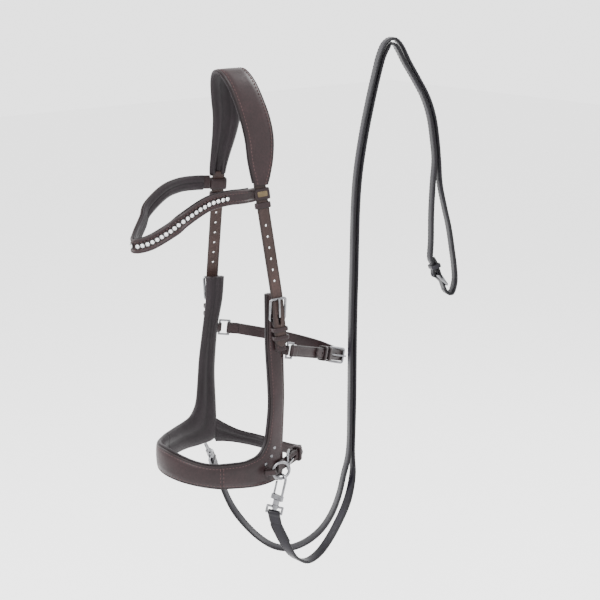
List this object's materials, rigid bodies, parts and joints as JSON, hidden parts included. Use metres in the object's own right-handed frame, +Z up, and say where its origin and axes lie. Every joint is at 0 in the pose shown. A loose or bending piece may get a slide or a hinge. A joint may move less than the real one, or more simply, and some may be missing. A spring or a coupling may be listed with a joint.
{
  "type": "bitless bridle",
  "caption": "Padded leather bitless bridle with a wide noseband, jewelled browband, throat and chin straps, rein rings, snap hooks and buckled reins.",
  "frame": {"origin": "underside of the crown at its middle, where the horse's poll or a bridle hook carries it", "axes": "+Z up, -Y towards the nose and browband, +X the horse's left (near) side"},
  "size_m": [0.287, 0.4203, 0.7623],
  "materials": {
    "dark_leather": "smooth waxed bridle leather, dark havana",
    "brown_leather": "smooth waxed bridle leather, lighter brown",
    "soft_padding": "soft matt nappa leather over foam",
    "rein_leather": "supple near-black leather",
    "steel": "polished stainless steel",
    "name_plate": "plain antique brass plate, left blank",
    "stones": "faceted clear glass stones"
  },
  "bodies": {
    "bridle": {"crown_leather": "dark_leather", "crown_padding": "soft_padding", "left_crown_strap": "brown_leather", "right_crown_strap": "brown_leather", "crown_keepers": "dark_leather", "left_cheek_leather": "dark_leather", "right_cheek_leather": "dark_leather", "left_cheek_padding": "soft_padding", "right_cheek_padding": "soft_padding", "nose_leather": "dark_leather", "nose_padding": "soft_padding", "left_cheek_chape": "dark_leather", "right_cheek_chape": "dark_leather", "left_buckle_frame": "steel", "right_buckle_frame": "steel", "left_fixed_keeper": "dark_leather", "right_fixed_keeper": "dark_leather", "left_throat_ring": "steel", "right_throat_ring": "steel", "throat_ring_tabs": "dark_leather", "left_throat_strap": "dark_leather", "right_throat_strap": "dark_leather", "throat_billet": "dark_leather", "throat_buckle_frame": "steel", "throat_keeper": "dark_leather", "right_chin_strap": "dark_leather", "chin_billet": "dark_leather", "chin_buckle_frame": "steel", "cheek_studs": "steel", "rein_ring_tabs": "dark_leather", "left_rein": "rein_leather", "right_rein": "rein_leather", "rein_chape": "rein_leather", "rein_buckle_frame": "steel", "rein_tip": "rein_leather"},
    "browband": {"browband_leather": "dark_leather", "browband_padding": "soft_padding", "browband_loops": "dark_leather", "browband_plate": "name_plate", "stone_cups": "steel", "stones": "stones"},
    "throat_prong": {"throat_buckle_prong": "steel"},
    "throat_runner": {"throat_runner": "dark_leather"},
    "chin_prong": {"chin_buckle_prong": "steel"},
    "chin_runner": {"chin_runner": "dark_leather"},
    "rein_prong": {"rein_buckle_prong": "steel"},
    "left_prong": {"left_buckle_prong": "steel"},
    "left_runner": {"left_runner": "dark_leather"},
    "left_ring": {"left_rein_ring": "steel"},
    "left_eye": {"left_swivel_eye": "steel", "left_rein_billet": "rein_leather"},
    "left_hook": {"left_snap_hook": "steel"},
    "left_gate": {"left_snap_gate": "steel"},
    "right_prong": {"right_buckle_prong": "steel"},
    "right_runner": {"right_runner": "dark_leather"},
    "right_ring": {"right_rein_ring": "steel"},
    "right_eye": {"right_swivel_eye": "steel", "right_rein_billet": "rein_leather"},
    "right_hook": {"right_snap_hook": "steel"},
    "right_gate": {"right_snap_gate": "steel"}
  },
  "joints": [
    {"name": "left_prong_turn", "type": "hinge", "parent": "bridle", "child": "left_prong", "pos_m": [0.07072, 0.02118, -0.32462], "axis": [0.2415, 0.9688, 0.0562], "range_deg": [0, 60]},
    {"name": "left_runner_slide", "type": "slide", "parent": "bridle", "child": "left_runner", "axis": [-0.1139, -0.0292, 0.9931], "range_m": [-0.005, 0.005]},
    {"name": "right_prong_turn", "type": "hinge", "parent": "bridle", "child": "right_prong", "pos_m": [-0.0709, 0.01765, -0.3247], "axis": [-0.342, -0.9396, 0.0116], "range_deg": [0, 60]},
    {"name": "right_runner_slide", "type": "slide", "parent": "bridle", "child": "right_runner", "axis": [0.1139, -0.0292, 0.9931], "range_m": [-0.005, 0.005]},
    {"name": "throat_prong_turn", "type": "hinge", "parent": "bridle", "child": "throat_prong", "pos_m": [0.03028, 0.1502, -0.4095], "axis": [0.0947, -0.3003, -0.9491], "range_deg": [0, 60]},
    {"name": "throat_runner_slide", "type": "slide", "parent": "bridle", "child": "throat_runner", "axis": [-0.2853, 0.9052, -0.3149], "range_m": [-0.014, 0.005]},
    {"name": "chin_prong_turn", "type": "hinge", "parent": "bridle", "child": "chin_prong", "pos_m": [0.06056, 0.0501, -0.5326], "axis": [0.0124, -0.0233, 0.9997], "range_deg": [0, 60]},
    {"name": "chin_runner_slide", "type": "slide", "parent": "bridle", "child": "chin_runner", "axis": [0.3136, -0.9492, -0.026], "range_m": [-0.002, 0.002]},
    {"name": "rein_prong_turn", "type": "hinge", "parent": "bridle", "child": "rein_prong", "pos_m": [0.15794, 0.23187, -0.27987], "axis": [0.9216, -0.3729, 0.1072], "range_deg": [0, 60]},
    {"name": "browband_slide", "type": "slide", "parent": "bridle", "child": "browband", "axis": [0, 0, 1], "range_m": [-0.003, 0.002]},
    {"name": "left_ring_spin", "type": "hinge", "parent": "bridle", "child": "left_ring", "pos_m": [0.09, 0.011, -0.534], "axis": [0.9397, -0.342, 0], "continuous": true},
    {"name": "left_rein_swing", "type": "hinge", "parent": "bridle", "child": "left_eye", "pos_m": [0.09029, 0.01179, -0.54597], "axis": [0.3412, 0.9374, 0.0698], "range_deg": [-10, 20]},
    {"name": "left_hook_swivel", "type": "hinge", "parent": "left_eye", "child": "left_hook", "pos_m": [0.09029, 0.01179, -0.54597], "axis": [0.047, 0.2509, 0.9669], "range_deg": [-12, 6]},
    {"name": "left_gate_open", "type": "hinge", "parent": "left_hook", "child": "left_gate", "pos_m": [0.0825, 0.00363, -0.5714], "axis": [-0.2253, 0.9457, -0.2344], "range_deg": [0, 22], "stiffness_Nm_per_rad": 0.02, "springref_deg": -11.46},
    {"name": "right_ring_spin", "type": "hinge", "parent": "bridle", "child": "right_ring", "pos_m": [-0.09, 0.004, -0.526], "axis": [-0.9397, -0.342, 0], "continuous": true},
    {"name": "right_rein_swing", "type": "hinge", "parent": "bridle", "child": "right_eye", "pos_m": [-0.09205, 0.00964, -0.53639], "axis": [0.2962, -0.8138, -0.5], "range_deg": [-20, 10]},
    {"name": "right_hook_swivel", "type": "hinge", "parent": "right_eye", "child": "right_hook", "pos_m": [-0.09205, 0.00964, -0.53639], "axis": [-0.102, 0.4285, -0.8978], "range_deg": [-12, 6]},
    {"name": "right_gate_open", "type": "hinge", "parent": "right_hook", "child": "right_gate", "pos_m": [-0.08863, 0.0192, -0.56229], "axis": [-0.3749, -0.8525, -0.3643], "range_deg": [0, 22], "stiffness_Nm_per_rad": 0.02, "springref_deg": -11.46}
  ]
}
